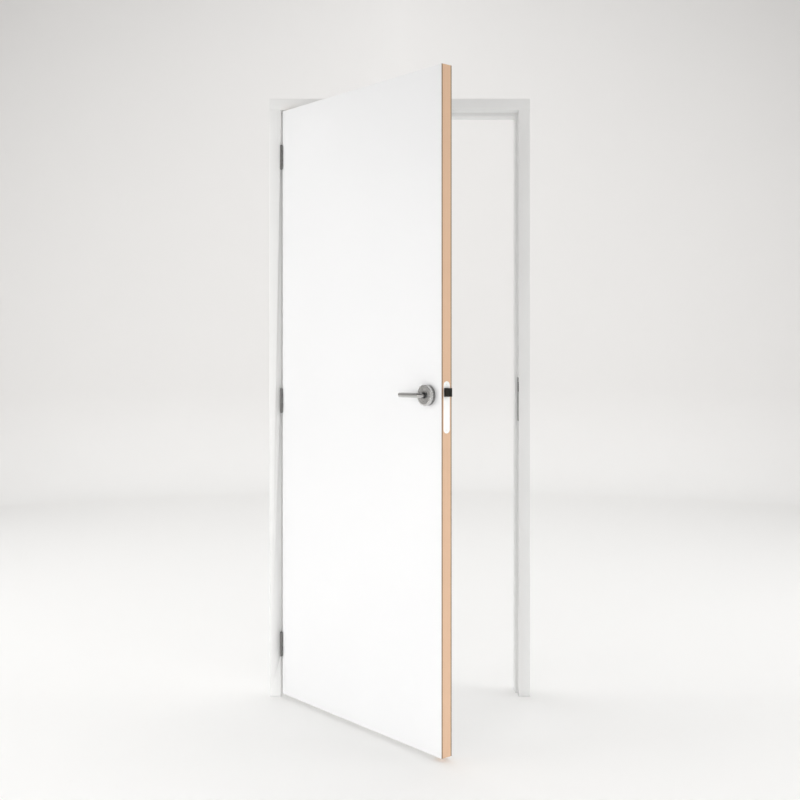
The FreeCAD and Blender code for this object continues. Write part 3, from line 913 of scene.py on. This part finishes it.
# Lock: a folded and zinc plated case in the block, behind a round-ended forend let into the stile,
# stove enamelled white, with a square black latch that slides out through it.
ENAMEL = (0.97, 0.97, 0.96, 1)
LATCH_BLACK = (0.014, 0.0135, 0.012, 1)
CASE_ZINC = (0.42, 0.42, 0.40, 1)
MOUTH_CORNER = 0.0015
PLAY = 0.0004
ROUND_SHARE = 0.999


def enamel(name):
    material, surface = shader(name, 0.22)
    surface.inputs["Coat Weight"].default_value = 0.4
    peel = noise(material, object_place(material, unhang), 700.0, 2.0)
    tint(material, surface, peel, shaded(ENAMEL, 0.97), ENAMEL, low=0.3, high=0.7)
    bump(material, surface, peel, 0.00003, 0.3)
    return material


forend_low, forend_high = shut_box("forend")
latch_low, latch_high = shut_box("latch_bolt")
forend_heads = screw_heads("forend_screws", out_of_edge)
half_wide = (forend_high.y - forend_low.y) / 2
forend_outline = box_outline(forend_low, forend_high, half_wide * ROUND_SHARE, steps=12)
forend_white = enamel("forend_white")
forend = make_object(
    "forend_plate", extrude_outline(forend_outline, forend_low.x, forend_high.x, on_edge), [forend_white])
play = Vector((0, PLAY, PLAY))
mouth_outline = box_outline(latch_low - play, latch_high + play, MOUTH_CORNER)
mouth = make_object(
    "mouth", extrude_outline(mouth_outline, forend_low.x - CLEAR, forend_high.x + CLEAR, on_edge), [])
shut_heads = [unhang @ head for head in forend_heads]
cut_out(forend, [mouth] + countersinks(shut_heads, to_right))
ease_edges(forend, PRESSED_EDGE)
forend.data.transform(hang)
fit(forend, "leaf", "forend_paint", "forend")
drive_screws(
    "forend_plate_screws", forend_heads, out_of_edge, forend_white, "leaf", "forend_paint", "forend_screws")
dress("lock_case", plated("case_zinc", CASE_ZINC))

LATCH_BEVEL = 0.005
LATCH_EDGE = 0.0006
latch_outline = rounded([
    (latch_low.x, latch_low.y),
    (latch_high.x, latch_low.y),
    (latch_high.x, latch_high.y - LATCH_BEVEL),
    (latch_high.x - LATCH_BEVEL, latch_high.y),
    (latch_low.x, latch_high.y),
], (0, 0.0008, 0.0015, 0.0015, 0))
latch_black = moulded_plastic("latch_black", LATCH_BLACK, 0.4, unhang, shine=0.15)
latch = make_object("latch", extrude_outline(latch_outline, latch_low.z, latch_high.z), [latch_black])
ease_edges(latch, LATCH_EDGE, segments=3)
latch.data.transform(hang)
fit(latch, "latch", "latch_black", "latch_bolt")

# Roses: steel cups spun to a bevelled front, brushed in rings, with painted shade darkening the rim
# next to the leaf, pressed on over a shadow gap, each with a black bush whose black is painted shade on the
# lever's neck.
SATIN = (0.54, 0.536, 0.528, 1)
# Painted shade: the bush's black stands in for the shade round the lever's neck.
NECK_SHADE_BLACK = (0.03, 0.03, 0.032, 1)
ROSE_RIM = 0.0188
RIM_BAND = 0.0004
RIM_REACH = 0.0105
ROSE_STEEL = (0.62, 0.616, 0.608, 1)
ROSE_FRONT = 0.020
ROSE_BEVEL = 0.0046
SHADOW_GAP = 0.0022
SHADOW_STEP = 0.0016
BUSH_OUTER = 0.0088
BUSH_INNER = 0.0077
BUSH_FRONT = 0.0258
RINGS_PER_METRE = 2600.0
rose_low, rose_high = shut_box("front_rose")
rose_radius = (rose_high.x - rose_low.x) / 2
handle_axes = Matrix.Translation((-spindle_x, 0, -handle_z)) @ unhang


def ring_brushed_rim_shaded(name, colour, roughness, rim_shade):
    """Steel brushed in rings about the spindle, with painted shade darkening its rim beside the leaf."""
    material, surface = shader(name, roughness, 1.0)
    radius = distance_from(material, handle_axes, (1, 0, 1))
    texture = add(material, "ShaderNodeTexNoise", noise_dimensions="1D", Scale=RINGS_PER_METRE, Detail=3.0)
    wire(material, radius, texture.inputs["W"])
    rings = texture.outputs["Fac"]
    cloud = noise(material, object_place(material, handle_axes), 60.0, 2.0)
    brushed = blend_colours(material, spread(material, rings, 0.35, 0.65, 0, 1), shaded(colour, 0.85), colour)
    # Painted shade: the rim's side nearest the leaf is darkened to stand in for the shade there.
    at_rim = maths(material, "GREATER_THAN", radius, rose_radius - RIM_BAND)
    depth = maths(material, "SUBTRACT", place_along(material, handle_axes, "Y"), leaf_middle.y)
    near = leaf_high.y - leaf_middle.y + RIM_REACH
    beside = maths(material, "LESS_THAN", maths(material, "MULTIPLY", depth, depth), near * near)
    painted_rim_shade = maths(material, "MULTIPLY", at_rim, beside)
    mixed = blend_colours(material, painted_rim_shade, brushed, shaded(colour, rim_shade))
    wire(material, mixed, surface.inputs["Base Color"])
    polish(material, surface, cloud, roughness - 0.02, roughness + 0.02)
    bump(material, surface, rings, 0.00003, 0.15)
    return material


rose_steel = ring_brushed_rim_shaded("rose_steel", ROSE_STEEL, 0.27, rim_shade=0.4)
# The bush is a black sleeve round the lever's neck, its black standing in for the neck's shade.
bush_shade_black = moulded_plastic("bush_shade_black", NECK_SHADE_BLACK, 0.4, unhang)
rose_profile = rounded([
    (BUSH_OUTER, 0),
    (rose_radius - SHADOW_STEP, 0),
    (rose_radius - SHADOW_STEP, SHADOW_GAP),
    (rose_radius, SHADOW_GAP),
    (rose_radius, ROSE_RIM),
    (rose_radius - ROSE_BEVEL, ROSE_FRONT),
    (BUSH_OUTER, ROSE_FRONT),
], (0, 0, 0, 0.0006, 0.0008, 0.0012, 0.0003))
bush_profile = rounded([
    (BUSH_INNER, ROSE_RIM),
    (BUSH_OUTER, ROSE_RIM),
    (BUSH_OUTER, BUSH_FRONT),
    (BUSH_INNER, BUSH_FRONT),
], (0, 0, 0.0004, 0.0004))


def rose(side, outward, face_y):
    """A rose and its bush on one face of the leaf. Outward is -1 for the front and 1 for the back."""
    middle = hang @ Matrix.Translation((spindle_x, face_y, handle_z))
    place = middle @ Matrix.Rotation(-outward * math.radians(90), 4, "X")
    cup = turned(
        side + "_rose_cup", rose_profile, place, [rose_steel], closed=True, steps=72, smooth=20.0)
    fit(cup, "leaf", "satin_steel", side + "_rose")
    bush = turned(side + "_rose_bush", bush_profile, place, [bush_shade_black], closed=True)
    fit(bush, "leaf", "latch_black")


rose("front", -1, leaf_low.y)
rose("back", 1, leaf_high.y)

# Levers: round steel bar bent tight to a right angle, sawn square at the tip with its edge broken,
# and brushed along its length. A square spindle joins the pair through the lock.
LEVER_BEND = 0.0095
LEVER_SEAT = 0.003
TIP_EDGE = 0.0009
TUBE_STEPS = 40
BEND_STEPS = 16
TIP_STEPS = 3
lever_low, lever_high = shut_box("front_lever")
lever_radius = (lever_high.z - lever_low.z) / 2
lever_out = leaf_low.y - lever_low.y - lever_radius


def lever(name, node, outward, face_y, material):
    """A bent bar about its own centre line, from its seat in the rose to its tip."""
    seat = Vector((spindle_x, face_y + outward * LEVER_SEAT, handle_z))
    corner = Vector((spindle_x, face_y + outward * lever_out, handle_z))
    tip = Vector((lever_low.x, face_y + outward * lever_out, handle_z))
    centre_line = rounded([seat, corner, tip], (0, LEVER_BEND, 0), closed=False, steps=BEND_STEPS)
    shoulder = tip + Vector((TIP_EDGE, 0, 0))
    stations = [(seat, 0.0, Vector((0, outward, 0)))]
    stations += [(seat, lever_radius, Vector((0, outward, 0)))]
    for index in range(1, len(centre_line) - 1):
        along = (centre_line[index + 1] - centre_line[index - 1]).normalized()
        stations.append((centre_line[index], lever_radius, along))
    for step in range(TIP_STEPS + 1):
        turn = math.radians(90) * step / TIP_STEPS
        away = Vector((-TIP_EDGE * math.sin(turn), 0, 0))
        stations.append((shoulder + away, lever_radius - TIP_EDGE * (1 - math.cos(turn)), to_left))
    stations.append((tip, 0.0, to_left))
    upward = Vector((0, 0, 1))
    mesh = bmesh.new()
    rings = []
    for point, radius, along in stations:
        aside = along.cross(upward).normalized()
        if radius == 0:
            rings.append([mesh.verts.new(point)] * TUBE_STEPS)
            continue
        ring = []
        for step in range(TUBE_STEPS):
            turn = 2 * math.pi * step / TUBE_STEPS
            away = aside * radius * math.cos(turn) + upward * radius * math.sin(turn)
            ring.append(mesh.verts.new(point + away))
        rings.append(ring)
    join_rings(mesh, rings)
    piece = make_object(name, mesh, [material], smooth=35.0)
    piece.data.transform(hang)
    return fit(piece, "lever_set", "satin_steel", node)


lever_steel = brushed_steel("lever_steel", SATIN, 0.09, 0, unhang, relief=0.01, shade=0.95)
lever("front_lever_bar", "front_lever", -1, leaf_low.y, lever_steel)
lever("back_lever_bar", "back_lever", 1, leaf_high.y, lever_steel)
dress("spindle", plated("spindle_zinc", CASE_ZINC))

# Floor and studio: a pale seamless bowl all round the door set, with painted shade that makes its wall
# darker than its floor and darker again far up and out. Soft lights stand above, on both sides and low in
# front, and one lies on the floor. Only the one at the front left is mirrored in the steel.
FLOOR_RADIUS = 5.8
SWEEP_RADIUS = 0.8
WALL_TOP = 7.0
SWEEP_STEPS = 16
ROUND_STEPS = 96
STUDIO_FLOOR = (0.95, 0.948, 0.938, 1)
STUDIO_WALL = (0.862, 0.853, 0.844, 1)
STUDIO_FAR_SHADE = (0.627, 0.618, 0.609, 1)
WALL_FROM = 0.9
FAR_SIDE = 5.0
FAR_CORNER = 80.0
SKY = 0.08

profile = [(0.0, 0.0), (FLOOR_RADIUS, 0.0)]
for step in range(1, SWEEP_STEPS + 1):
    angle = math.pi / 2 * step / SWEEP_STEPS
    profile.append((FLOOR_RADIUS + SWEEP_RADIUS * math.sin(angle), SWEEP_RADIUS * (1 - math.cos(angle))))
profile.append((FLOOR_RADIUS + SWEEP_RADIUS, WALL_TOP))

studio_paint_and_shade, studio_surface = shader("studio_paint_and_shade", 0.9)
studio_surface.inputs["Specular IOR Level"].default_value = 0.1
rise = distance_from(studio_paint_and_shade, AS_IT_STANDS, (0, 0, 1))
outward = distance_from(studio_paint_and_shade, Matrix.Translation((-middle_x, 0, 0)), (1, 0, 0))
# Painted shade: the colour darkens from floor to wall, and again far up and out, standing in for light
# falling off.
up_wall = spread(studio_paint_and_shade, rise, 0.0, WALL_FROM, 0, 1)
wall_colour = blend_colours(studio_paint_and_shade, up_wall, STUDIO_FLOOR, STUDIO_WALL)
corner = maths(studio_paint_and_shade, "MULTIPLY", outward, maths(studio_paint_and_shade, "POWER", rise, 2.0))
side = maths(studio_paint_and_shade, "POWER", maths(studio_paint_and_shade, "MULTIPLY", outward, 1 / FAR_SIDE), 4.0)
both = maths(studio_paint_and_shade, "ADD", maths(studio_paint_and_shade, "MULTIPLY", corner, 1 / FAR_CORNER), side)
painted_falloff = maths(studio_paint_and_shade, "MINIMUM", both, 1.0)
bowl_colour_with_painted_shade = blend_colours(studio_paint_and_shade, painted_falloff, wall_colour, STUDIO_FAR_SHADE)
wire(studio_paint_and_shade, bowl_colour_with_painted_shade, studio_surface.inputs["Base Color"])
bowl_middle = Matrix.Translation((middle_x, 0, 0))
studio = turned("studio_floor", profile, bowl_middle, [studio_paint_and_shade], steps=ROUND_STEPS)
for face in studio.data.polygons:
    face.flip()


def soft_light(name, place, aim, width, height, power, mirrored=False, fan=180):
    """A soft box at a place, turned to its aim. The fan is how widely it shines, in degrees."""
    data = bpy.data.lights.new(name, "AREA")
    data.shape = "RECTANGLE"
    data.size = width
    data.size_y = height
    data.energy = power
    data.spread = math.radians(fan)
    lamp = bpy.data.objects.new(name, data)
    lamp.location = place
    lamp.rotation_euler = (Vector(aim) - Vector(place)).to_track_quat("-Z", "Y").to_euler()
    lamp.visible_camera = False
    lamp.visible_glossy = mirrored
    bpy.context.scene.collection.objects.link(lamp)


soft_light("overhead_back", (middle_x, 2.2, 6.8), (middle_x, 2.2, 0), 7.0, 4.0, 231.0)
soft_light("overhead_front", (middle_x, -3.0, 6.0), (middle_x, -3.0, 0), 6.0, 3.0, 52.0)
soft_light("left_bank", (-5.2, -0.8, 2.2), (middle_x, -0.4, 1.0), 4.0, 3.0, 114.0)
soft_light("left_low", (-4.8, -1.2, 0.3), (middle_x, -0.4, 1.4), 4.0, 0.4, 46.0)
soft_light("left_front", (-3.5, -5.0, 1.6), (middle_x, -0.6, 0.4), 3.0, 2.5, 29.0, mirrored=True)
soft_light("right_bank", (6.0, -0.8, 2.2), (middle_x, -0.4, 1.0), 4.0, 3.0, 112.0)
soft_light("low_front", (middle_x - 0.5, -3.3, 0.55), (middle_x - 0.2, 0, 0.35), 3.4, 0.7, 13.5, fan=125)
soft_light("left_back", (-4.5, 2.6, 1.6), (middle_x, 0, 1.0), 2.5, 2.5, 6.0)
soft_light("floor_glow", (middle_x, -0.2, 0.003), (middle_x, -0.2, 2.0), 3.2, 3.2, 5.0)

world = bpy.data.worlds.new("studio_light")
world.use_nodes = True
sky = world.node_tree.nodes["Background"]
sky.inputs["Color"].default_value = (1.0, 1.0, 1.0, 1)
sky.inputs["Strength"].default_value = SKY
bpy.context.scene.world = world
bpy.context.scene.view_settings.view_transform = "Standard"
